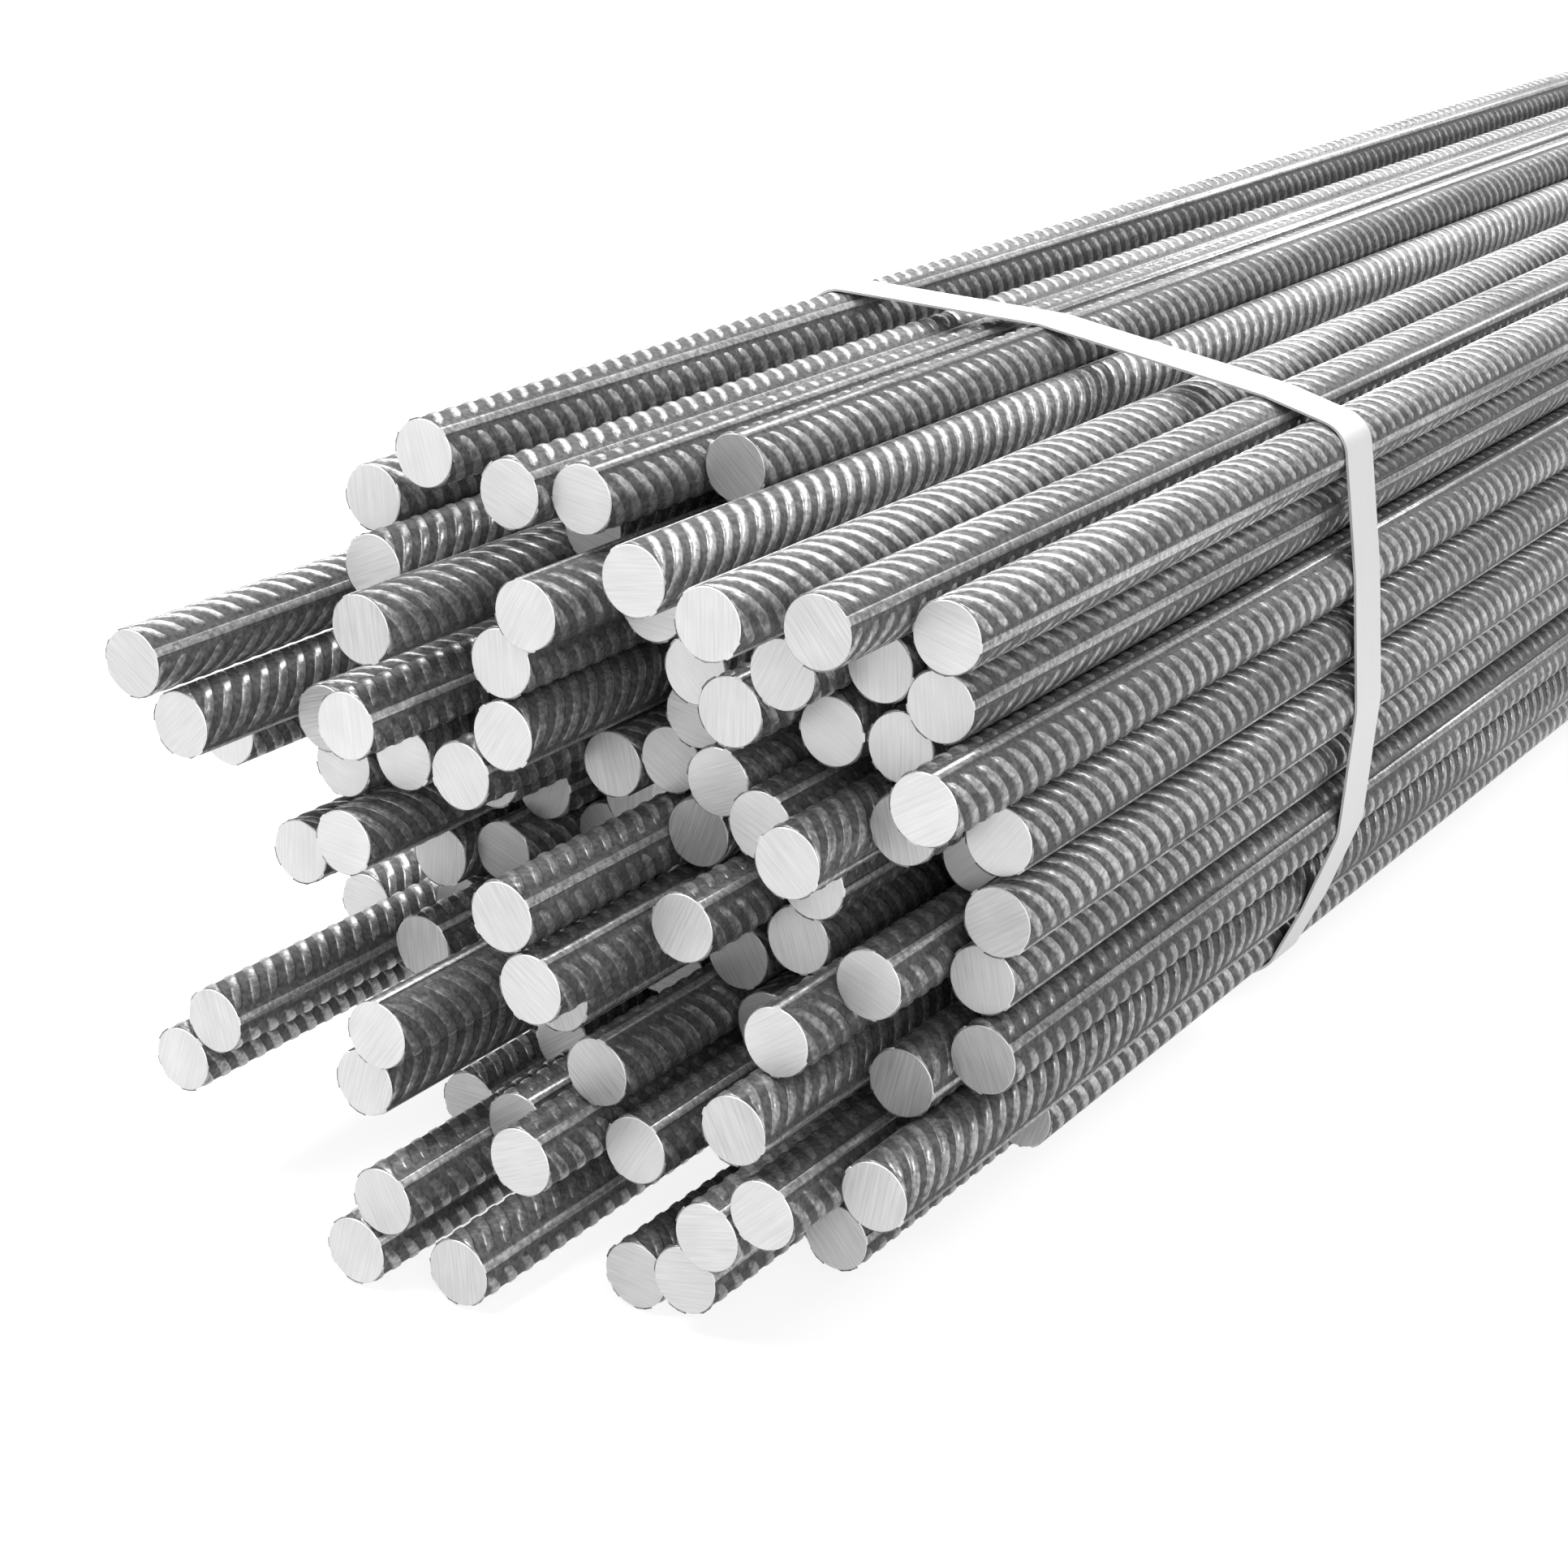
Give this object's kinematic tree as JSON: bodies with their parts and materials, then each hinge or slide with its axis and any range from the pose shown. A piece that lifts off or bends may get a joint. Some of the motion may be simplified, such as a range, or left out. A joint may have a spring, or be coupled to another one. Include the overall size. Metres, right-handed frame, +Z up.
{
  "type": "rebar bundle",
  "caption": "Bundle of long ribbed steel reinforcing bars with uneven ends, held together by flat steel strapping and lying on a level floor.",
  "frame": {"origin": "on the floor under the middle of the bundle", "axes": "+X along the bars, from the uneven front ends to the far ends, +Y to the left seen from the front ends, +Z up"},
  "size_m": [6.195, 0.2897, 0.2367],
  "materials": {
    "bar_steel": "hot rolled and lightly worn, bright on the ribs, cut ends finely sawn",
    "strap_steel": "bright smooth strapping"
  },
  "bodies": {
    "root": {"bars_course_01": "bar_steel", "bars_course_02": "bar_steel", "bars_course_03": "bar_steel", "bars_course_04": "bar_steel", "bars_course_05": "bar_steel", "bars_course_06": "bar_steel", "bars_course_07": "bar_steel", "bars_course_08": "bar_steel", "bars_course_09": "bar_steel", "bars_course_10": "bar_steel", "bars_course_11": "bar_steel", "bars_course_12": "bar_steel", "bars_course_13": "bar_steel", "strap_1": "strap_steel", "strap_2": "strap_steel", "strap_3": "strap_steel", "strap_4": "strap_steel"}
  },
  "joints": []
}
